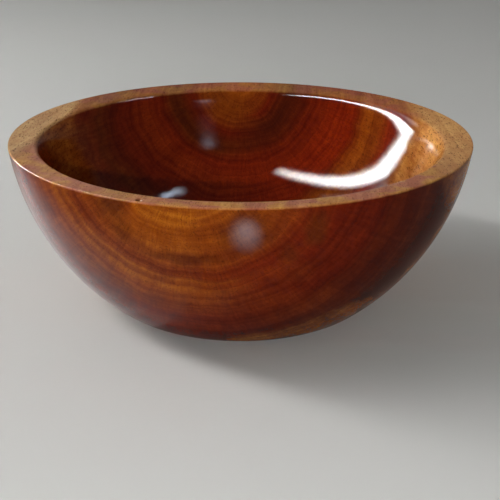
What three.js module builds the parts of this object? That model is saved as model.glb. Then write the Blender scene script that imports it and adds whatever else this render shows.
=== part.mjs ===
// A lathe-turned wooden bowl with a felt disc glued into a recess under its foot.
// Millimetres, +Z up along the turning axis. The origin is the middle of the felt's
// underside, the flat face that the bowl stands on.

import * as THREE from 'three';

// The turned bowl
const RIM_DIAMETER = 150; // across the rim's outer edge
const RIM_HEIGHT = 56; // rim's outer edge above the wooden foot
const RIM_DROP = 1.3; // the rim's top face slopes inwards, so its lip lies this much lower
const RIM_EDGE_ROUNDING = 0.6; // outer edge, left nearly sharp
const RIM_LIP_ROUNDING = 2.5; // inner lip: its rounding reaches this far over the top face
const RIM_LIP_DEPTH = 7; // and this far down the inside
const WALL_THICKNESS = 10; // at the lip
const LOW_WALL_THICKNESS = 11.5; // where the wall starts to turn into the floor
const WALL_BULGE = 6.75; // how far the outside bows out past a straight line from foot to rim
const INSIDE_BULGE = 0.5; // the same for the inside, from the floor's curve to the lip
const FOOT_DIAMETER = 84; // where wall and foot would meet without the rounding
const FOOT_EDGE_ROUNDING = 4;
const FLOOR_THICKNESS = 9; // wood above the foot's plane in the middle of the bowl
const FLOOR_CURVE_HEIGHT = 27; // the wall starts to turn into the floor this far above it

// The felt disc and the recess that holds it
const FOOT_RING_WIDTH = 8; // flat wood left around the recess
const FELT_THICKNESS = 2.5;
const FELT_PROUD = 0.5; // the felt stands out below the foot, so the bowl rests on it
const FELT_CLEARANCE = 0.3; // between the felt's edge and the recess
const GLUE_LINE = 0.2; // between the felt and the roof of the recess

// How finely the turned surfaces are divided
const TURN_STEPS = 80;
const CURVE_STEPS = 8;
const ROUNDING_STEPS = 3;
const LIP_STEPS = 4;

const rimRadius = RIM_DIAMETER / 2;
const footRadius = FOOT_DIAMETER / 2;
const ringOuterRadius = footRadius - FOOT_EDGE_ROUNDING;
const recessRadius = ringOuterRadius - FOOT_RING_WIDTH;
const recessRoof = FELT_THICKNESS + GLUE_LINE;
const footHeight = FELT_PROUD;
const rimHeight = footHeight + RIM_HEIGHT;
const floorHeight = footHeight + FLOOR_THICKNESS;

// A point of a profile: its distance from the turning axis, and its height.
function profilePoint(radius, height) {
  return new THREE.Vector2(radius, height);
}

// The arc from start to end that bows out by bulge, to the right of that direction.
function bowedArc(start, end, bulge) {
  const chord = end.clone().sub(start);
  const halfChord = chord.length() / 2;
  const radius = (halfChord ** 2 + bulge ** 2) / (2 * bulge);
  const outward = profilePoint(chord.y, -chord.x).normalize();
  const centre = start.clone().lerp(end, 0.5).addScaledVector(outward, bulge - radius);
  return { centre, radius };
}

function angleAtPoint(arc, point) {
  return Math.atan2(point.y - arc.centre.y, point.x - arc.centre.x);
}

function angleAtHeight(arc, height) {
  return Math.asin((height - arc.centre.y) / arc.radius);
}

function pointAtAngle(arc, angle) {
  const spoke = profilePoint(Math.cos(angle), Math.sin(angle));
  return arc.centre.clone().addScaledVector(spoke, arc.radius);
}

// The points of an arc between two angles, without its ends.
function alongArc(arc, fromAngle, toAngle) {
  const points = [];
  for (let step = 1; step < CURVE_STEPS; step += 1) {
    const angle = THREE.MathUtils.lerp(fromAngle, toAngle, step / CURVE_STEPS);
    points.push(pointAtAngle(arc, angle));
  }
  return points;
}

// The points of a curve that leaves start towards corner and reaches end from it, without
// its ends.
function alongBend(start, corner, end, steps) {
  const bend = new THREE.QuadraticBezierCurve(start, corner, end);
  return bend.getPoints(steps).slice(1, -1);
}

// Where the tangent at an angle of an arc reaches a height.
function tangentAtHeight(arc, angle, height) {
  const point = pointAtAngle(arc, angle);
  const run = (point.y - height) * Math.tan(-angle);
  return profilePoint(point.x - run, height);
}

// Where the inside would be at a height if the wall had this thickness all over.
function insideAtHeight(outside, thickness, height) {
  const arc = { centre: outside.centre, radius: outside.radius - thickness };
  return pointAtAngle(arc, angleAtHeight(arc, height));
}

function bowlProfile() {
  const foot = profilePoint(footRadius, footHeight);
  const edge = profilePoint(rimRadius, rimHeight);
  const lipHeight = rimHeight - RIM_DROP;
  const outside = bowedArc(foot, edge, WALL_BULGE);
  const lip = insideAtHeight(outside, WALL_THICKNESS, lipHeight);
  const insideFloor = insideAtHeight(outside, LOW_WALL_THICKNESS, floorHeight + FLOOR_CURVE_HEIGHT);
  const inside = bowedArc(insideFloor, lip, INSIDE_BULGE);

  const ringEdge = profilePoint(ringOuterRadius, footHeight);
  const outsideFootAngle = angleAtPoint(outside, foot) + FOOT_EDGE_ROUNDING / outside.radius;
  const outsideRimAngle = angleAtPoint(outside, edge) - RIM_EDGE_ROUNDING / outside.radius;
  const outsideFoot = pointAtAngle(outside, outsideFootAngle);
  const outsideRim = pointAtAngle(outside, outsideRimAngle);

  const insideRimAngle = angleAtPoint(inside, lip) - RIM_LIP_DEPTH / inside.radius;
  const insideFloorAngle = angleAtPoint(inside, insideFloor);
  const insideRim = pointAtAngle(inside, insideRimAngle);
  const lipCorner = tangentAtHeight(inside, insideRimAngle, lipHeight);
  const floorCorner = tangentAtHeight(inside, insideFloorAngle, floorHeight);
  const floorMiddle = profilePoint(0, floorHeight);

  const inwards = lip.clone().sub(edge).normalize();
  const faceStart = edge.clone().addScaledVector(inwards, RIM_EDGE_ROUNDING);
  const faceEnd = lip.clone().addScaledVector(inwards, -RIM_LIP_ROUNDING);

  return [
    profilePoint(0, recessRoof),
    profilePoint(recessRadius, recessRoof),
    profilePoint(recessRadius, footHeight),
    ringEdge,
    ...alongBend(ringEdge, foot, outsideFoot, ROUNDING_STEPS),
    outsideFoot,
    ...alongArc(outside, outsideFootAngle, outsideRimAngle),
    outsideRim,
    ...alongBend(outsideRim, edge, faceStart, ROUNDING_STEPS),
    faceStart,
    faceEnd,
    ...alongBend(faceEnd, lipCorner, insideRim, LIP_STEPS),
    insideRim,
    ...alongArc(inside, insideRimAngle, insideFloorAngle),
    insideFloor,
    ...alongBend(insideFloor, floorCorner, floorMiddle, CURVE_STEPS),
    floorMiddle,
  ];
}

function feltProfile() {
  const feltRadius = recessRadius - FELT_CLEARANCE;
  return [
    profilePoint(0, 0),
    profilePoint(feltRadius, 0),
    profilePoint(feltRadius, FELT_THICKNESS),
    profilePoint(0, FELT_THICKNESS),
  ];
}

// A solid turned about +Z. Its profile runs from the axis, outwards along the underside,
// up the outside and back to the axis over the top.
function turnedSolid(name, profile, material) {
  const geometry = new THREE.LatheGeometry(profile, TURN_STEPS);
  geometry.rotateX(Math.PI / 2);
  const mesh = new THREE.Mesh(geometry, material);
  mesh.name = name;
  return mesh;
}

const lacqueredWood = new THREE.MeshStandardMaterial({
  color: 0x5c2a14,
  roughness: 0.2,
  metalness: 0,
});
const greenFelt = new THREE.MeshStandardMaterial({
  color: 0x24382a,
  roughness: 0.95,
  metalness: 0,
});

const bowl = new THREE.Group();
bowl.name = 'turned_wooden_bowl';
bowl.add(turnedSolid('bowl_body', bowlProfile(), lacqueredWood));
bowl.add(turnedSolid('felt_base_disc', feltProfile(), greenFelt));

export default bowl;
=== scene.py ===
import bpy
import math
from mathutils import Euler, Matrix, Vector
from mathutils.geometry import interpolate_bezier


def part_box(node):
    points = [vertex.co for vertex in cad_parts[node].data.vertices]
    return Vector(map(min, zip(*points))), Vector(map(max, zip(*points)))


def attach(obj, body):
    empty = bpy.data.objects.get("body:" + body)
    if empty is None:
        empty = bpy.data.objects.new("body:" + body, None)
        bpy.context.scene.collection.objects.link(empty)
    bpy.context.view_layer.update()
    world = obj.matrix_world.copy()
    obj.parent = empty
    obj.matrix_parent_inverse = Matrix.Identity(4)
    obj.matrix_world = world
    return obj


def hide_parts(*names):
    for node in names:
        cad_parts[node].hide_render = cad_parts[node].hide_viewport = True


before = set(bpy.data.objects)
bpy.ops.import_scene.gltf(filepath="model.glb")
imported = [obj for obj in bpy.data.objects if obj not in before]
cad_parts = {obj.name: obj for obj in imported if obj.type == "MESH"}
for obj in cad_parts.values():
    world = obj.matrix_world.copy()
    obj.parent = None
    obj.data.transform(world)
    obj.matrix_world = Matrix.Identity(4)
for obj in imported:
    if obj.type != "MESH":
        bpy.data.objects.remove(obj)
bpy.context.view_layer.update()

MM = 0.001

# Sizes of the turned bowl
RIM_RADIUS = 75 * MM
RIM_HEIGHT = 56 * MM  # above the wooden foot
RIM_DROP = 1.3 * MM  # the rim's top face slopes inwards, so its lip lies this much lower
RIM_EDGE_ROUNDING = 0.6 * MM
RIM_LIP_ROUNDING = 2.5 * MM  # over the top face
RIM_LIP_DEPTH = 7 * MM  # down the inside
WALL_THICKNESS = 10 * MM  # at the lip
LOW_WALL_THICKNESS = 11.5 * MM  # where the wall starts to turn into the floor
WALL_BULGE = 6.75 * MM  # how far the outside bows out past a straight line from foot to rim
INSIDE_BULGE = 0.5 * MM
FOOT_RADIUS = 42 * MM
FOOT_EDGE_ROUNDING = 4 * MM
FOOT_RING_WIDTH = 8 * MM
FLOOR_THICKNESS = 9 * MM
FLOOR_CURVE_HEIGHT = 27 * MM

# Sizes of the felt disc in its recess
FELT_CLEARANCE = 0.3 * MM
FELT_EDGE_ROUNDING = 0.8 * MM
GLUE_LINE = 0.2 * MM

# Heights and radii that follow from these sizes and from the frame
felt_low, felt_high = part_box("felt_base_disc")
FOOT_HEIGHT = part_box("bowl_body")[0].z
RIM_TOP = FOOT_HEIGHT + RIM_HEIGHT
FLOOR_HEIGHT = FOOT_HEIGHT + FLOOR_THICKNESS
RECESS_ROOF = felt_high.z + GLUE_LINE
RING_OUTER_RADIUS = FOOT_RADIUS - FOOT_EDGE_ROUNDING
RECESS_RADIUS = RING_OUTER_RADIUS - FOOT_RING_WIDTH
FELT_RADIUS = RECESS_RADIUS - FELT_CLEARANCE

# A small natural pit in the front left of the rim's top face
PIT_X = -27.4 * MM
PIT_Y = -67.3 * MM
PIT_HALF_WIDTH = 1.0 * MM
PIT_HALF_LENGTH = 1.8 * MM
PIT_DEPTH = 0.9 * MM
PIT_SHAPE = 0.7  # a power: below 1 the sides are steeper than a dish's

# Steps of the fine mesh
TURN_STEP = math.radians(1.0)
FELT_TURNS = 180
FINE_STEP = 0.1 * MM  # around the pit
FINE_REACH = 2.0 * MM
FACE_STEP = 1.0 * MM
ARC_STEPS = 56
BEND_STEPS = 40
ROUNDING_STEPS = 8
LIP_STEPS = 24
SHARP_ANGLE = math.radians(35)


# Profiles, as points of a radius and a height


class Arc:
    """An arc of a profile."""

    def __init__(self, centre, radius):
        self.centre = centre
        self.radius = radius

    def point(self, angle):
        return self.centre + Vector((math.cos(angle), math.sin(angle))) * self.radius

    def points(self, first, last):
        return [self.point(first + (last - first) * i / ARC_STEPS) for i in range(ARC_STEPS + 1)]

    def angle_at_point(self, point):
        return math.atan2(point.y - self.centre.y, point.x - self.centre.x)

    def angle_at_height(self, height):
        return math.asin((height - self.centre.y) / self.radius)

    def tangent_at_height(self, angle, height):
        """Where the tangent at an angle reaches a height."""
        point = self.point(angle)
        return Vector((point.x + (point.y - height) * math.tan(angle), height))


def bowed_arc(start, end, bulge):
    """The arc from start to end that bows out by bulge, to the right of that direction."""
    chord = end - start
    half = chord.length / 2
    radius = (half ** 2 + bulge ** 2) / (2 * bulge)
    outward = Vector((chord.y, -chord.x)).normalized()
    return Arc((start + end) / 2 + outward * (bulge - radius), radius)


def inside_at_height(outside, thickness, height):
    """Where the inside would be at a height if the wall had this thickness all over."""
    arc = Arc(outside.centre, outside.radius - thickness)
    return arc.point(arc.angle_at_height(height))


def along_bend(start, corner, end, steps):
    """A curve that leaves start towards corner and reaches end from it."""
    points = []
    for i in range(steps + 1):
        t = i / steps
        points.append(start * (1 - t) ** 2 + corner * (2 * t * (1 - t)) + end * t ** 2)
    return points


def stops(first, last, step, fine_at):
    """Evenly spaced values from first to last, with finer ones around fine_at."""
    count = max(1, round((last - first) / step))
    values = [first + (last - first) * i / count for i in range(count + 1)]
    fine_count = round(FINE_REACH / FINE_STEP)
    fine = [fine_at + FINE_STEP * i for i in range(-fine_count, fine_count + 1)]
    kept = [v for v in values if abs(v - fine_at) > FINE_REACH + FINE_STEP]
    return sorted(kept + [v for v in fine if first < v < last])


def bowl_profile():
    foot = Vector((FOOT_RADIUS, FOOT_HEIGHT))
    edge = Vector((RIM_RADIUS, RIM_TOP))
    lip_height = RIM_TOP - RIM_DROP
    outside = bowed_arc(foot, edge, WALL_BULGE)
    lip = inside_at_height(outside, WALL_THICKNESS, lip_height)
    bend_start = inside_at_height(outside, LOW_WALL_THICKNESS, FLOOR_HEIGHT + FLOOR_CURVE_HEIGHT)
    inside = bowed_arc(bend_start, lip, INSIDE_BULGE)

    ring_edge = Vector((RING_OUTER_RADIUS, FOOT_HEIGHT))
    foot_angle = outside.angle_at_point(foot) + FOOT_EDGE_ROUNDING / outside.radius
    edge_angle = outside.angle_at_point(edge) - RIM_EDGE_ROUNDING / outside.radius

    inside_top = inside.angle_at_point(lip) - RIM_LIP_DEPTH / inside.radius
    inside_low = inside.angle_at_point(bend_start)
    lip_corner = inside.tangent_at_height(inside_top, lip_height)
    bend_corner = inside.tangent_at_height(inside_low, FLOOR_HEIGHT)

    inwards = (lip - edge).normalized()
    face_start = edge + inwards * RIM_EDGE_ROUNDING
    face_end = lip - inwards * RIM_LIP_ROUNDING
    pit_from_edge = RIM_RADIUS - math.hypot(PIT_X, PIT_Y)
    face = stops(0, (face_end - face_start).length, FACE_STEP, pit_from_edge)

    return [
        Vector((0, RECESS_ROOF)),
        Vector((RECESS_RADIUS, RECESS_ROOF)),
        Vector((RECESS_RADIUS, FOOT_HEIGHT)),
        *along_bend(ring_edge, foot, outside.point(foot_angle), ROUNDING_STEPS)[:-1],
        *outside.points(foot_angle, edge_angle)[:-1],
        *along_bend(outside.point(edge_angle), edge, face_start, ROUNDING_STEPS)[:-1],
        *[face_start + inwards * distance for distance in face][:-1],
        *along_bend(face_end, lip_corner, inside.point(inside_top), LIP_STEPS)[:-1],
        *inside.points(inside_top, inside_low)[:-1],
        *along_bend(bend_start, bend_corner, Vector((0, FLOOR_HEIGHT)), BEND_STEPS),
    ]


def felt_profile():
    edge_start = Vector((FELT_RADIUS - FELT_EDGE_ROUNDING, felt_low.z))
    edge_corner = Vector((FELT_RADIUS, felt_low.z))
    edge_end = Vector((FELT_RADIUS, felt_low.z + FELT_EDGE_ROUNDING))
    return [
        Vector((0, felt_low.z)),
        *along_bend(edge_start, edge_corner, edge_end, ROUNDING_STEPS),
        Vector((FELT_RADIUS, felt_high.z)),
        Vector((0, felt_high.z)),
    ]


# Meshes


def turned_mesh(name, profile, angles):
    """A closed mesh turned about Z from a profile that starts and ends on the axis."""
    rings = profile[1:-1]
    turns = len(angles)
    points = [(0, 0, profile[0].y)]
    for point in rings:
        for angle in angles:
            points.append((point.x * math.cos(angle), point.x * math.sin(angle), point.y))
    points.append((0, 0, profile[-1].y))
    last = len(points) - 1
    top = 1 + (len(rings) - 1) * turns
    faces = []
    for i in range(turns):
        j = (i + 1) % turns
        faces.append((0, 1 + j, 1 + i))
        faces.append((last, top + i, top + j))
        for row in range(len(rings) - 1):
            low = 1 + row * turns
            high = low + turns
            faces.append((low + i, low + j, high + j, high + i))
    mesh = bpy.data.meshes.new(name)
    mesh.from_pydata(points, [], faces)
    mesh.shade_smooth()
    mesh.set_sharp_from_angle(angle=SHARP_ANGLE)
    return mesh


def press_pit(mesh):
    """Sinks the small pit into the rim's top face."""
    for vertex in mesh.vertices:
        if vertex.co.z < RIM_TOP - RIM_DROP:
            continue
        across = (vertex.co.x - PIT_X) / PIT_HALF_WIDTH
        along = (vertex.co.y - PIT_Y) / PIT_HALF_LENGTH
        inside = 1 - across ** 2 - along ** 2
        if inside > 0:
            vertex.co.z -= PIT_DEPTH * inside ** PIT_SHAPE


def bowl_mesh():
    pit_radius = math.hypot(PIT_X, PIT_Y)
    pit_turn = math.atan2(PIT_Y, PIT_X) % math.tau
    arc_stops = stops(0, math.tau * pit_radius, TURN_STEP * pit_radius, pit_turn * pit_radius)
    angles = [distance / pit_radius for distance in arc_stops[:-1]]
    mesh = turned_mesh("bowl", bowl_profile(), angles)
    press_pit(mesh)
    return mesh


def felt_mesh():
    angles = [math.tau * i / FELT_TURNS for i in range(FELT_TURNS)]
    return turned_mesh("felt_disc", felt_profile(), angles)


# Materials

# Noise lies around this middle, mostly within this swing of it
NOISE_MIDDLE = 0.5
NOISE_SWING = 0.25


def opaque(colour):
    """A colour of three numbers with an alpha of 1. A socket stays as it is."""
    return (*colour, 1.0) if isinstance(colour, tuple) else colour


class Tree:
    """A material's node tree, with one short call for each kind of node."""

    def __init__(self, name):
        self.material = bpy.data.materials.new(name)
        self.material.use_nodes = True
        self.nodes = self.material.node_tree.nodes
        self.links = self.material.node_tree.links
        self.nodes.clear()

    def set(self, socket, value):
        if isinstance(value, bpy.types.NodeSocket):
            self.links.new(value, socket)
        else:
            socket.default_value = value

    def node(self, kind, inputs, **settings):
        made = self.nodes.new(kind)
        for name, value in settings.items():
            setattr(made, name, value)
        for name, value in inputs.items():
            self.set(made.inputs[name], value)
        return made

    def math(self, operation, a, b):
        return self.node("ShaderNodeMath", {0: a, 1: b}, operation=operation).outputs[0]

    def vector(self, operation, a, b):
        return self.node("ShaderNodeVectorMath", {0: a, 1: b}, operation=operation).outputs[0]

    def length(self, vector):
        return self.node("ShaderNodeVectorMath", {0: vector}, operation="LENGTH").outputs["Value"]

    def split(self, vector):
        return self.node("ShaderNodeSeparateXYZ", {0: vector}).outputs

    def join(self, x, y, z):
        return self.node("ShaderNodeCombineXYZ", {0: x, 1: y, 2: z}).outputs[0]

    def noise(self, vector, size, detail=2.0, roughness=0.5, output="Fac"):
        """Soft noise by place, with marks of about the given size."""
        inputs = {"Vector": vector, "Scale": 1 / size, "Detail": detail, "Roughness": roughness}
        return self.node("ShaderNodeTexNoise", inputs).outputs[output]

    def line_noise(self, value, size, detail):
        """Soft noise by one value, with marks of about the given size."""
        inputs = {"W": value, "Scale": 1 / size, "Detail": detail}
        return self.node("ShaderNodeTexNoise", inputs, noise_dimensions="1D").outputs["Fac"]

    def smooth(self, value, low, high, to_low=0.0, to_high=1.0):
        """A soft step from to_low to to_high as the value goes from low to high."""
        inputs = {0: value, 1: low, 2: high, 3: to_low, 4: to_high}
        return self.node("ShaderNodeMapRange", inputs, interpolation_type="SMOOTHSTEP").outputs[0]

    def ramp(self, value, colours):
        """Colours by value, from (value between 0 and 1, colour) pairs."""
        made = self.node("ShaderNodeValToRGB", {0: value})
        points = made.color_ramp.elements
        while len(points) < len(colours):
            points.new(1.0)
        for point, (position, colour) in zip(points, colours):
            point.position = position
            point.color = opaque(colour)
        return made.outputs["Color"]

    def mix(self, factor, a, b):
        inputs = {0: factor, 6: opaque(a), 7: opaque(b)}
        return self.node("ShaderNodeMix", inputs, data_type="RGBA").outputs[2]

    def bump(self, height, distance):
        inputs = {"Height": height, "Distance": distance, "Strength": 1.0}
        return self.node("ShaderNodeBump", inputs).outputs[0]

    def place_in_mm(self):
        place = self.node("ShaderNodeTexCoord", {}).outputs["Object"]
        return self.vector("MULTIPLY", place, (1 / MM, 1 / MM, 1 / MM))

    def finish(self, inputs):
        shader = self.node("ShaderNodeBsdfPrincipled", inputs)
        self.node("ShaderNodeOutputMaterial", {"Surface": shader.outputs[0]})
        return self.material


# Wood, with all its lengths in millimetres

# The log that the bowl was cut from: its pith runs nearly along Y, above the rim
PITH_X = -6.7
PITH_Z = 65.3
PITH_X_SLOPE = 0.109
PITH_Z_SLOPE = -0.098
LOG_TAPER = -0.00176
LOG_SQUEEZE = 0.4  # makes noise longer along the log than across it

# Ramps by radius go from 0 to RING_SCALE, and ramps by turn go as far as TURN_SCALE to either side
RING_SCALE = 80.0
TURN_SCALE = math.radians(100)

# How far the heartwood reaches from the pith, by degrees of turn from straight down to the right
# At turns of about 48 to 74 degrees it reaches far enough to give the shaded outer right wall the dark
# outer heartwood tones, which are partly painted shade
FRONT_HEART_REACH = [
    (-80, 57.4), (-60, 58.5), (-45, 66.0), (-5, 66.0), (10, 60.5), (30, 61.5), (40, 64.5), (48, 71.0),
    (66, 74.0), (74, 71.0), (79, 66.0),
]
BACK_HEART_REACH = [
    (-85, 61.0), (-78, 57.4), (-60, 57.8), (0, 62.0), (60, 68.0), (80, 68.5), (88, 70.0),
]
HEART_FRONT_TO_BACK = (-42, 15)  # where along Y the first list gives way to the second
HEART_EDGE = 3.0  # half the width over which heartwood turns into sapwood
HEART_EDGE_RAGGED = 2.5  # strength of the noise that makes this boundary uneven
HEART_EDGE_SIZE = 8  # size of that noise's marks

# Tones of the sapwood, of the heartwood and its pores (also the painted shade in the rim's pit), and of the
# rim's top face, with its painted light and sheen, each from pale to dark
SAP_CREAM = (0.67, 0.29, 0.075)
SAP_TAN = (0.48, 0.185, 0.035)
SAP_BROWN = (0.245, 0.067, 0.0085)
SAP_DARK = (0.136, 0.030, 0.0030)
GOLD = (0.29, 0.071, 0.0040)
AMBER = (0.237, 0.046, 0.0030)
HONEY = (0.196, 0.0365, 0.0024)
COPPER = (0.163, 0.0245, 0.0018)
TAWNY = (0.145, 0.0195, 0.0018)
BRICK = (0.162, 0.0108, 0.0010)
CINNAMON = (0.145, 0.0135, 0.0012)
RUSSET = (0.122, 0.0085, 0.0009)
OLIVE = (0.080, 0.0135, 0.0012)
MAHOGANY = (0.100, 0.0072, 0.0009)
BISTRE = (0.073, 0.0096, 0.0010)
UMBER = (0.071, 0.0066, 0.0009)
EBONY = (0.053, 0.0060, 0.0009)
PORE_AND_PIT_SHADE_BROWN = (0.030, 0.004, 0.0008)
RIM_CREAM = (0.56, 0.320, 0.130)
RIM_TAN = (0.56, 0.26, 0.060)
RIM_SAP = (0.48, 0.245, 0.085)
RIM_PINK = (0.47, 0.170, 0.085)

# Growth rings of the heartwood: tone by radius, at four sides of the log
FRONT_LEFT_RINGS = [
    (13, COPPER), (18, GOLD), (21, AMBER), (24, AMBER), (27, HONEY), (33, COPPER), (34.8, COPPER),
    (35.8, GOLD), (36.8, HONEY), (38, HONEY), (39.2, GOLD), (41, AMBER), (46, COPPER), (50, CINNAMON),
    (56, RUSSET), (62, MAHOGANY),
]
# Its darkest outer tones lie on the shaded outer right wall and are partly painted shade there
FRONT_RIGHT_RINGS = [
    (15, GOLD), (18, AMBER), (21, HONEY), (24, HONEY), (27, COPPER), (30, TAWNY), (33, CINNAMON),
    (34.8, RUSSET), (37.3, CINNAMON), (39.5, RUSSET), (43, MAHOGANY), (50, MAHOGANY), (52.5, UMBER),
    (57, UMBER), (64, EBONY),
]
BACK_LEFT_RINGS = [
    (6, AMBER), (10, HONEY), (14, HONEY), (18, COPPER), (22, RUSSET), (27, BISTRE), (30, BISTRE),
    (34, RUSSET), (40, CINNAMON), (45, MAHOGANY), (48, MAHOGANY), (54, BISTRE), (58, RUSSET), (61, HONEY),
]
BACK_RIGHT_RINGS = [
    (5, AMBER), (9, COPPER), (12, COPPER), (15, RUSSET), (18, UMBER), (22, EBONY), (27, UMBER),
    (31, MAHOGANY), (34, RUSSET), (37, RUSSET), (40, BRICK), (49, BRICK), (52, COPPER), (55, HONEY),
    (58.5, HONEY), (62, BRICK),
]
RINGS_LEFT_TO_RIGHT = (-0.3, 0.6)  # lean from the pith where the left rings give way to the right ones
RINGS_FRONT_TO_BACK = (-40, 40)  # the same along Y

# Blotches of colour that don't follow the rings: place, half sizes, tone and strength
BLOTCHES = [
    ((-35, -66, 55), (5, 14, 5), OLIVE, 0.8),
    ((-33, -66, 47), (4, 14, 5), OLIVE, 0.5),
    ((-16, -69, 40), (15, 12, 2.2), OLIVE, 0.6),
    ((20, -69, 50), (4, 14, 6), OLIVE, 0.7),
    ((13, -70, 42), (4.5, 12, 4.5), OLIVE, 0.5),
    ((14, -67, 35.5), (9, 12, 5), COPPER, 0.3),
    ((-20, -68, 48), (13, 14, 8), GOLD, 0.5),
    ((1, -70, 49), (8, 14, 8), OLIVE, 0.6),
    ((14, -58, 22), (24, 20, 8), TAWNY, 0.45),
    ((-52, -52, 45), (12, 16, 12), CINNAMON, 0.35),
    ((0, 52, 29), (14, 10, 8), BRICK, 0.3),
]
BLOTCH_EDGE = (0.3, 1.25)  # from full strength to none, in half sizes
BLOTCH_WAVE_SIZE = 6
BLOTCH_WAVE_REACH = 1.2

# The wood's waves: two sizes, and how far each moves the grain
LONG_WAVE_SIZE = 14
LONG_WAVE_REACH = 0.9
SHORT_WAVE_SIZE = 3.5
SHORT_WAVE_REACH = 0.25

# The rim's top face: how much of its paler, greyer tones shows at the front, at the back and in the
# sapwood. That lightening is painted light from above and a painted sheen of the sky, which the face
# reflects at a grazing angle
RIM_FRONT_PAINTED_LIGHT = 0.69
RIM_BACK_PAINTED_LIGHT = 0.37
RIM_SAP_PAINTED_LIGHT = 0.75
RIM_FRONT_TO_BACK = (-30, 50)  # along Y
RIM_FADE = (0.1, 0.8)  # its tones fade out between these depths below it
RIM_SAP_LEAN = (-0.3, 0.3)  # from cream to the darker tone of its sapwood
RIM_PATCH_SIZE = 9
RIM_PATCH_RANGE = (0.4, 0.6)  # noise from pink to tan

# Layers that make the tone lighter and darker: the size of their marks, and how much they change
THIN_RING_SIZE = 1.25
THIN_RING_CONTRAST = 0.6
BROAD_RING_SIZE = 4
BROAD_RING_CONTRAST = 0.6
CLOUD_SIZE = 7
CLOUD_SQUEEZE = 0.5
CLOUD_CONTRAST = 0.9
RAYS_PER_RADIAN = 58.0
RAY_DEPTH = 7.0
RAY_LENGTH = 14.0
RAY_CONTRAST = 0.6
MOTTLE_SIZE = 1.8
MOTTLE_CONTRAST = 0.5
RIM_CONTRAST = 0.6  # share of all these on the rim's top face
DEEPENING = 1.6  # a power for green and blue, so that darker wood is redder

# Fibres and clouds of the sapwood, with pale tones only at the right and away from the front. Elsewhere it
# takes a darker pair of tones, which is partly painted shade for the shaded inner left wall and outer right
# front wall
FIBRE_SIZE = 1.6
FIBRE_SQUEEZE = 0.15
SAP_CLOUD_SIZE = 11
SAP_TONE_RANGE = (0.36, 0.62)  # noise from the darker to the paler of two tones
PALE_LIT_SAP_LEAN = (0.3, 1.0)
PALE_LIT_SAP_Y = (-40, 0)

# Pores, and painted shade in and around the rim's small pit
PORE_SIZE = 0.4
PORE_SQUEEZE = 0.2
PORE_RANGE = (0.56, 0.72)  # noise from plain wood to the middle of a pore
HEART_PORE_STRENGTH = 0.45
SAP_PORE_STRENGTH = 0.7
PIT_SHADE_STRENGTH = 0.9
PIT_SHADE_EDGE = (0.6, 1.2)  # from full strength to none, in half sizes

# The lacquer's fine texture
LACQUER_GRIT_SIZE = 0.5
LACQUER_GRIT_HEIGHT = 0.02 * MM


def centred(tree, value, contrast):
    """A noise value as a gain that is 1 on average."""
    return tree.math("ADD", tree.math("MULTIPLY", value, contrast), 1 - contrast * NOISE_MIDDLE)


def along_log(tree, place, squeeze):
    """The place with Y squeezed, so that noise comes out longer along the log."""
    return tree.vector("MULTIPLY", place, (1.0, squeeze, 1.0))


def waved(tree, place, size, reach):
    """The place, moved by up to about reach, in waves of the given size."""
    sway = tree.noise(along_log(tree, place, LOG_SQUEEZE), size, output="Color")
    sway = tree.vector("SUBTRACT", sway, (NOISE_MIDDLE, NOISE_MIDDLE, NOISE_MIDDLE))
    gain = reach / NOISE_SWING
    return tree.vector("ADD", place, tree.vector("MULTIPLY", sway, (gain, 0.0, gain)))


def ellipsoid_distance(tree, place, centre, half_sizes):
    """Distance from the centre of an ellipsoid, 1 on its surface."""
    offset = tree.vector("SUBTRACT", place, centre)
    return tree.length(tree.vector("DIVIDE", offset, half_sizes))


def off_pith(tree, value, y, start, slope):
    """How far a coordinate lies from the pith, which is at start in the middle and moves along Y."""
    return tree.math("SUBTRACT", tree.math("SUBTRACT", value, start), tree.math("MULTIPLY", y, slope))


def log_coordinates(tree, place):
    """Ring radius in the tapering log, the turn around its pith, and how far a place leans to the right."""
    x, y, z = tree.split(place)
    across = off_pith(tree, x, y, PITH_X, PITH_X_SLOPE)
    up = off_pith(tree, z, y, PITH_Z, PITH_Z_SLOPE)
    distance = tree.length(tree.join(across, up, 0.0))
    taper = tree.math("ADD", tree.math("MULTIPLY", y, LOG_TAPER), 1.0)
    radius = tree.math("DIVIDE", distance, taper)
    turn = tree.math("ARCTAN2", across, tree.math("MULTIPLY", up, -1.0))
    lean = tree.math("DIVIDE", across, distance)
    return radius, turn, lean


def rings(tree, radius, tones):
    """The tone at a radius, blended between the listed rings."""
    share = tree.math("DIVIDE", radius, RING_SCALE)
    return tree.ramp(share, [(mm / RING_SCALE, tone) for mm, tone in tones])


def blotched(tree, place, colour):
    for centre, half_sizes, tone, strength in BLOTCHES:
        distance = ellipsoid_distance(tree, place, centre, half_sizes)
        colour = tree.mix(tree.smooth(distance, *BLOTCH_EDGE, strength, 0.0), colour, tone)
    return colour


def heartwood(tree, place, radius, lean):
    y = tree.split(place)[1]
    rightness = tree.smooth(lean, *RINGS_LEFT_TO_RIGHT)
    front_left = rings(tree, radius, FRONT_LEFT_RINGS)
    front_right = rings(tree, radius, FRONT_RIGHT_RINGS)
    back_left = rings(tree, radius, BACK_LEFT_RINGS)
    back_right = rings(tree, radius, BACK_RIGHT_RINGS)
    front = tree.mix(rightness, front_left, front_right)
    back = tree.mix(rightness, back_left, back_right)
    colour = tree.mix(tree.smooth(y, *RINGS_FRONT_TO_BACK), front, back)
    return blotched(tree, waved(tree, place, BLOTCH_WAVE_SIZE, BLOTCH_WAVE_REACH), colour)


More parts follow.
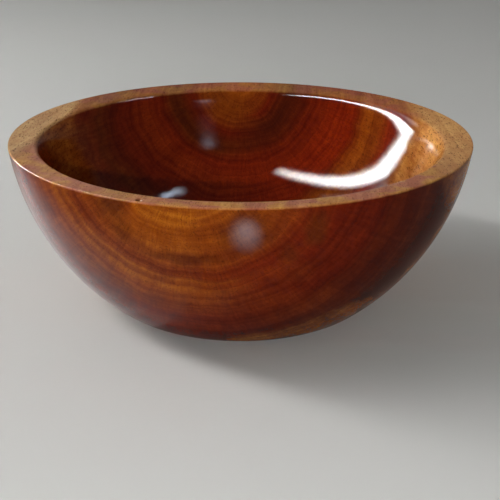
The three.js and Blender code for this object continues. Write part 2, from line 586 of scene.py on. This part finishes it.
def sapwood(tree, place, lean):
    y = tree.split(place)[1]
    fibre_place = along_log(tree, place, FIBRE_SQUEEZE)
    fibres = tree.noise(fibre_place, FIBRE_SIZE, detail=3.0, roughness=0.6)
    clouds = tree.noise(place, SAP_CLOUD_SIZE)
    tone = tree.math("ADD", tree.math("MULTIPLY", fibres, 0.5), tree.math("MULTIPLY", clouds, 0.5))
    tone = tree.smooth(tone, *SAP_TONE_RANGE)
    # The darker pair is partly painted shade on the shaded inner left wall and outer right front wall
    dark = tree.mix(tone, SAP_DARK, SAP_BROWN)
    pale = tree.mix(tone, SAP_TAN, SAP_CREAM)
    at_right = tree.smooth(lean, *PALE_LIT_SAP_LEAN)
    off_front = tree.smooth(y, *PALE_LIT_SAP_Y)
    return tree.mix(tree.math("MULTIPLY", at_right, off_front), dark, pale)


def reach_by_turn(tree, turn, reaches):
    share = tree.math("ADD", tree.math("DIVIDE", turn, 2 * TURN_SCALE), 0.5)
    steps = []
    for degrees, reach in reaches:
        grey = reach / RING_SCALE
        steps.append((0.5 + math.radians(degrees) / (2 * TURN_SCALE), (grey, grey, grey)))
    return tree.math("MULTIPLY", tree.ramp(share, steps), RING_SCALE)


def sap_share(tree, place, radius, turn):
    """0 in the heartwood, 1 in the sapwood, with an uneven boundary between them."""
    y = tree.split(place)[1]
    front = reach_by_turn(tree, turn, FRONT_HEART_REACH)
    back = reach_by_turn(tree, turn, BACK_HEART_REACH)
    backness = tree.smooth(y, *HEART_FRONT_TO_BACK)
    further = tree.math("MULTIPLY", tree.math("SUBTRACT", back, front), backness)
    beyond = tree.math("SUBTRACT", radius, tree.math("ADD", front, further))
    ragged = tree.noise(along_log(tree, place, LOG_SQUEEZE), HEART_EDGE_SIZE, detail=3.0)
    ragged = tree.math("MULTIPLY", tree.math("SUBTRACT", ragged, NOISE_MIDDLE), HEART_EDGE_RAGGED)
    return tree.smooth(tree.math("ADD", beyond, ragged), -HEART_EDGE, HEART_EDGE)


def on_rim_face(tree, place):
    """1 on the rim's top face, 0 from a little below it."""
    x, y, z = tree.split(place)
    inwards = tree.math("SUBTRACT", RIM_RADIUS / MM, tree.length(tree.join(x, y, 0.0)))
    drop = tree.math("MULTIPLY", inwards, RIM_DROP / WALL_THICKNESS)
    face = tree.math("SUBTRACT", RIM_TOP / MM, drop)
    return tree.smooth(tree.math("SUBTRACT", face, z), *RIM_FADE, 1.0, 0.0)


def rim_faced(tree, place, colour, rim, is_sap, lean):
    """The colour, with the rim's top face painted paler and greyer by painted light from above and a
    painted sheen, over pink and tan patches that vary at random.
    """
    y = tree.split(place)[1]
    patches = tree.smooth(tree.noise(place, RIM_PATCH_SIZE), *RIM_PATCH_RANGE)
    rim_heart = tree.mix(patches, RIM_PINK, RIM_TAN)
    rim_sap = tree.mix(tree.smooth(lean, *RIM_SAP_LEAN), RIM_CREAM, RIM_SAP)
    # Shares of the painted light and sheen on the rim, larger at the front and in the sapwood
    heart_painted_light = tree.smooth(y, *RIM_FRONT_TO_BACK, RIM_FRONT_PAINTED_LIGHT, RIM_BACK_PAINTED_LIGHT)
    sap_painted_light = tree.math("MULTIPLY", is_sap, RIM_SAP_PAINTED_LIGHT)
    painted_light = tree.math("MAXIMUM", heart_painted_light, sap_painted_light)
    return tree.mix(tree.math("MULTIPLY", painted_light, rim), colour, tree.mix(is_sap, rim_heart, rim_sap))


def figured(tree, place, colour, rim, radius, turn):
    """The colour, made lighter and darker by rings, clouds, rays and a fine mottle, least on the rim."""
    y = tree.split(place)[1]
    cloud_place = along_log(tree, place, CLOUD_SQUEEZE)
    ray_place = tree.join(
        tree.math("MULTIPLY", turn, RAYS_PER_RADIAN),
        tree.math("DIVIDE", radius, RAY_DEPTH),
        tree.math("DIVIDE", y, RAY_LENGTH),
    )
    layers = [
        (tree.line_noise(radius, THIN_RING_SIZE, detail=3.0), THIN_RING_CONTRAST),
        (tree.noise(cloud_place, CLOUD_SIZE, detail=4.0, roughness=0.6), CLOUD_CONTRAST),
        (tree.line_noise(radius, BROAD_RING_SIZE, detail=1.0), BROAD_RING_CONTRAST),
        (tree.noise(ray_place, 1.0), RAY_CONTRAST),
        (tree.noise(place, MOTTLE_SIZE, detail=3.0, roughness=0.6), MOTTLE_CONTRAST),
    ]
    gain = 1.0
    for layer, contrast in layers:
        gain = tree.math("MULTIPLY", gain, centred(tree, layer, contrast))
    share = tree.smooth(rim, 0.0, 1.0, 1.0, RIM_CONTRAST)
    change = tree.math("MULTIPLY", tree.math("SUBTRACT", gain, 1.0), share)
    gain = tree.math("ADD", change, 1.0)
    deep_gain = tree.math("POWER", gain, DEEPENING)
    return tree.vector("MULTIPLY", colour, tree.join(gain, deep_gain, deep_gain))


def pored(tree, place, colour, is_sap):
    """The colour with dark pores along the log: dots at the front, dashes at the sides."""
    pores = tree.noise(along_log(tree, place, PORE_SQUEEZE), PORE_SIZE, detail=1.0)
    strength = tree.smooth(is_sap, 0.0, 1.0, HEART_PORE_STRENGTH, SAP_PORE_STRENGTH)
    is_pore = tree.math("MULTIPLY", tree.smooth(pores, *PORE_RANGE), strength)
    return tree.mix(is_pore, colour, PORE_AND_PIT_SHADE_BROWN)


def pitted(tree, place, colour):
    """The colour with painted shade in and around the rim's small pit."""
    centre = (PIT_X / MM, PIT_Y / MM, RIM_TOP / MM)
    half_sizes = (PIT_HALF_WIDTH / MM, PIT_HALF_LENGTH / MM, 2 * PIT_DEPTH / MM)
    distance = ellipsoid_distance(tree, place, centre, half_sizes)
    pit_shade = tree.smooth(distance, *PIT_SHADE_EDGE, PIT_SHADE_STRENGTH, 0.0)
    return tree.mix(pit_shade, colour, PORE_AND_PIT_SHADE_BROWN)


def wood_material():
    tree = Tree("lacquered_wood")
    place = tree.place_in_mm()
    wavy_place = waved(tree, place, LONG_WAVE_SIZE, LONG_WAVE_REACH)
    wavy_place = waved(tree, wavy_place, SHORT_WAVE_SIZE, SHORT_WAVE_REACH)
    radius, turn, lean = log_coordinates(tree, wavy_place)
    is_sap = sap_share(tree, place, radius, turn)
    rim = on_rim_face(tree, place)

    colour = tree.mix(is_sap, heartwood(tree, wavy_place, radius, lean), sapwood(tree, place, lean))
    colour = rim_faced(tree, place, colour, rim, is_sap, lean)
    colour = figured(tree, place, colour, rim, radius, turn)
    colour = pored(tree, place, colour, is_sap)
    colour = pitted(tree, place, colour)

    # The lacquer is smooth at arm's length, with a fine dry-spray texture up close
    lacquer = tree.bump(tree.noise(place, LACQUER_GRIT_SIZE, roughness=0.7), LACQUER_GRIT_HEIGHT)
    return tree.finish({
        "Base Color": colour,
        "Roughness": 0.4,
        "Specular IOR Level": 0.0,
        "Coat Weight": 0.5,
        "Coat IOR": 1.25,
        "Coat Roughness": 0.05,
        "Coat Normal": lacquer,
        "Normal": lacquer,
    })


# Felt, with the sizes of its marks in millimetres

FELT_DARK = (0.010, 0.022, 0.013)
FELT_PALE = (0.034, 0.062, 0.040)
FELT_PATCH = (0.012, 0.03, 0.018)
TUFT_SIZE = 0.9
TUFT_HEIGHT = 0.25 * MM
FELT_TONES = [(0.3, FELT_DARK), (0.7, FELT_PALE)]  # by the noise of the tufts
FELT_PATCH_SIZE = 9
FELT_PATCH_RANGE = (0.3, 0.7)
FELT_PATCH_STRENGTH = 0.3


def felt_material():
    tree = Tree("felt")
    place = tree.place_in_mm()
    tufts = tree.noise(place, TUFT_SIZE, detail=5.0, roughness=0.7)
    patches = tree.noise(place, FELT_PATCH_SIZE)
    colour = tree.ramp(tufts, FELT_TONES)
    patchiness = tree.smooth(patches, *FELT_PATCH_RANGE, 0.0, FELT_PATCH_STRENGTH)
    colour = tree.mix(patchiness, colour, FELT_PATCH)
    return tree.finish({
        "Base Color": colour,
        "Roughness": 0.95,
        "Specular IOR Level": 0.1,
        "Sheen Weight": 0.5,
        "Sheen Roughness": 0.5,
        "Normal": tree.bump(tufts, TUFT_HEIGHT),
    })


# Pieces


def piece(name, mesh, material, node):
    """A modelled piece that stands for a CAD node of the one fixed body."""
    shown = bpy.data.objects.new(name, mesh)
    bpy.context.scene.collection.objects.link(shown)
    mesh.materials.append(material)
    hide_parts(node)
    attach(shown, "root")
    return shown


bowl = piece("bowl", bowl_mesh(), wood_material(), "bowl_body")
felt = piece("felt_disc", felt_mesh(), felt_material(), "felt_base_disc")

# Camera, at the photograph's viewing angle

CAMERA_PLACE = (0.0, -0.3347, 0.1481)
CAMERA_PITCH = math.radians(21.70)
CAMERA_YAW = math.radians(0.53)
CAMERA_ROLL = math.radians(0.2)
CAMERA_LENS = 75.6
CAMERA_SENSOR_WIDTH = 36

camera_data = bpy.data.cameras.new("camera")
camera_data.sensor_width = CAMERA_SENSOR_WIDTH
camera_data.lens = CAMERA_LENS
camera = bpy.data.objects.new("camera", camera_data)
camera.location = CAMERA_PLACE
level_view = Euler((math.pi / 2 - CAMERA_PITCH, 0, -CAMERA_YAW)).to_matrix()
camera.rotation_euler = (level_view @ Matrix.Rotation(CAMERA_ROLL, 3, "Z")).to_euler()
bpy.context.scene.collection.objects.link(camera)
bpy.context.scene.camera = camera

# Floor

FLOOR_HALF = 6.0
FLOOR_COLOUR = (0.60, 0.60, 0.58)


def floor_material():
    return Tree("pale_floor").finish({
        "Base Color": opaque(FLOOR_COLOUR),
        "Roughness": 0.6,
        "Specular IOR Level": 0.0,
    })


def make_floor():
    half = FLOOR_HALF
    corners = [(-half, -half, 0), (half, -half, 0), (half, half, 0), (-half, half, 0)]
    mesh = bpy.data.meshes.new("floor")
    mesh.from_pydata(corners, [], [(0, 1, 2, 3)])
    mesh.materials.append(floor_material())
    floor = bpy.data.objects.new("floor", mesh)
    bpy.context.scene.collection.objects.link(floor)


make_floor()

# Light

WHITE = (1, 1, 1)
PALE_BLUE = (0.82, 0.90, 1.0)
BLUE = (0.7, 0.82, 1.0)
WORLD_COLOUR = (1.0, 0.99, 0.97)
WORLD_STRENGTH = 0.24

# Points of the bowl that the lamps are set out from
BOWL_MIDDLE = Vector((0, 0, RIM_TOP / 2))
RIGHT_WALL = Vector((45, 32, 32)) * MM
BACK_WALL_LEFT = Vector((-13, 57, 39)) * MM
BACK_WALL_LOW = Vector((-25.5, 39, 23)) * MM

# A long curved light that the right wall mirrors: azimuth, elevation and width in degrees
KEY_SHINE_START = Vector((-131, 59.7, 3.2))
KEY_SHINE_FIRST_BEND = Vector((-65, 58, 8.5))
KEY_SHINE_SECOND_BEND = Vector((-70.5, 17.5, 8.5))
KEY_SHINE_END = Vector((-53, 9, 6.8))
KEY_SHINE_STEPS = 14
KEY_SHINE_DISTANCE = 0.80
KEY_SHINE_RADIANCE = 170.0

# Soft-edged cards on the floor are stacks of ever smaller ellipses
CARD_STEPS = 8
CARD_HEIGHT = 1.0 * MM
CARD_STEP_HEIGHT = 0.5 * MM


def sky_direction(azimuth, elevation):
    """Unit vector for degrees of azimuth from +Y towards +X, and of elevation."""
    a = math.radians(azimuth)
    e = math.radians(elevation)
    return Vector((math.cos(e) * math.sin(a), math.cos(e) * math.cos(a), math.sin(e)))


def area_lamp(
    name, place, turn, size, radiance, colour=WHITE, glossy=True, diffuse=True, shape="RECTANGLE"
):
    """A flat lamp that looks equally bright from everywhere in front of it."""
    data = bpy.data.lights.new(name, "AREA")
    data.shape = shape
    data.size = size[0]
    data.size_y = size[1]
    area = size[0] * size[1]
    if shape == "ELLIPSE":
        area *= math.pi / 4
    data.energy = radiance * math.pi * area
    data.color = colour
    lamp = bpy.data.objects.new(name, data)
    lamp.location = place
    lamp.rotation_euler = turn
    lamp.visible_glossy = glossy
    lamp.visible_diffuse = diffuse
    bpy.context.scene.collection.objects.link(lamp)


def soft_box(name, around, start, end, width, distance, radiance, **kind):
    """A long lamp in the sky of a point, from one (azimuth, elevation) to another, width in degrees."""
    first = sky_direction(*start)
    last = sky_direction(*end)
    middle = (first + last).normalized()
    run = (last - first).normalized()
    length = 2 * distance * math.tan(first.angle(last) / 2)
    breadth = 2 * distance * math.tan(math.radians(width) / 2)
    turn = Matrix((run, middle.cross(run), middle)).transposed().to_euler()
    area_lamp(name, around + middle * distance, turn, (length, breadth), radiance, **kind)


def lamp_on_wood(name, around, **kind):
    """A long lamp that lights the wood and doesn't show in the lacquer."""
    soft_box(name, around, glossy=False, **kind)


def shine(name, around, **kind):
    """A long lamp that only shows as a reflection in the lacquer."""
    soft_box(name, around, diffuse=False, **kind)


def key_shine():
    """The long curved light, as a chain of short lamps."""
    path = interpolate_bezier(
        KEY_SHINE_START,
        KEY_SHINE_FIRST_BEND,
        KEY_SHINE_SECOND_BEND,
        KEY_SHINE_END,
        KEY_SHINE_STEPS + 1,
    )
    for step, (start, end) in enumerate(zip(path, path[1:])):
        shine(
            "key_shine_%d" % step,
            RIGHT_WALL,
            start=start[:2],
            end=end[:2],
            width=(start.z + end.z) / 2,
            distance=KEY_SHINE_DISTANCE,
            radiance=KEY_SHINE_RADIANCE,
        )


def floor_shine(name, x, y, length, breadth, radiance, heading=0, colour=WHITE):
    """A soft-edged card just over the floor that only shows as a reflection in the lacquer.

    Its length is turned from +X by heading degrees.
    """
    turn = (math.pi, 0, math.radians(heading))
    for step in range(CARD_STEPS):
        share = 1 - step / CARD_STEPS
        area_lamp(
            "%s_%d" % (name, step),
            (x, y, CARD_HEIGHT + step * CARD_STEP_HEIGHT),
            turn,
            (length * share, breadth * share),
            radiance / CARD_STEPS,
            colour=colour,
            diffuse=False,
            shape="ELLIPSE",
        )


lamp_on_wood(
    "key_band", BOWL_MIDDLE, start=(-105, 52.5), end=(-60, 6), width=8.5, distance=0.85, radiance=16.5
)
lamp_on_wood(
    "key_tip", BOWL_MIDDLE, start=(-131, 55), end=(-105, 53), width=3.0, distance=0.85, radiance=16.5
)
lamp_on_wood(
    "front_lamp", BOWL_MIDDLE, start=(-178.6, 16.5), end=(-179.4, 16.5), width=0.8, distance=0.45,
    radiance=6400.0,
)
key_shine()
shine(
    "key_halo", RIGHT_WALL, start=(-60, 54), end=(-49, 18), width=9.0, distance=0.90, radiance=9.0
)
shine(
    "haze_glow", BACK_WALL_LEFT, start=(150, 32), end=(160, 32), width=9.0, distance=1.02, radiance=1.5,
    colour=BLUE,
)
shine(
    "haze_spot", BACK_WALL_LEFT, start=(150, 37.5), end=(159, 37.5), width=5.0, distance=1.0,
    radiance=8.0, colour=BLUE,
)
shine(
    "haze_middle", BACK_WALL_LEFT, start=(152.5, 37.7), end=(156.5, 37.7), width=2.5, distance=0.98,
    radiance=20.0, colour=BLUE,
)
shine(
    "blue_spot", BACK_WALL_LOW, start=(64, 55.5), end=(84, 64), width=1.5, distance=1.0, radiance=125.0,
    colour=BLUE,
)
soft_box(
    "back_card", BOWL_MIDDLE, start=(-32, 16), end=(-3, 16), width=16.0, distance=1.5, radiance=0.25
)
floor_shine(
    "front_card", x=3.8 * MM, y=-121.5 * MM, length=26 * MM, breadth=42 * MM, radiance=21.0,
    colour=PALE_BLUE,
)
floor_shine(
    "left_card", x=-115 * MM, y=25 * MM, length=300 * MM, breadth=95 * MM, radiance=2.0, heading=-54
)

world = bpy.data.worlds.new("studio")
world.use_nodes = True
background = world.node_tree.nodes["Background"]
background.inputs["Color"].default_value = opaque(WORLD_COLOUR)
background.inputs["Strength"].default_value = WORLD_STRENGTH
bpy.context.scene.world = world
bpy.context.scene.view_settings.view_transform = "Standard"
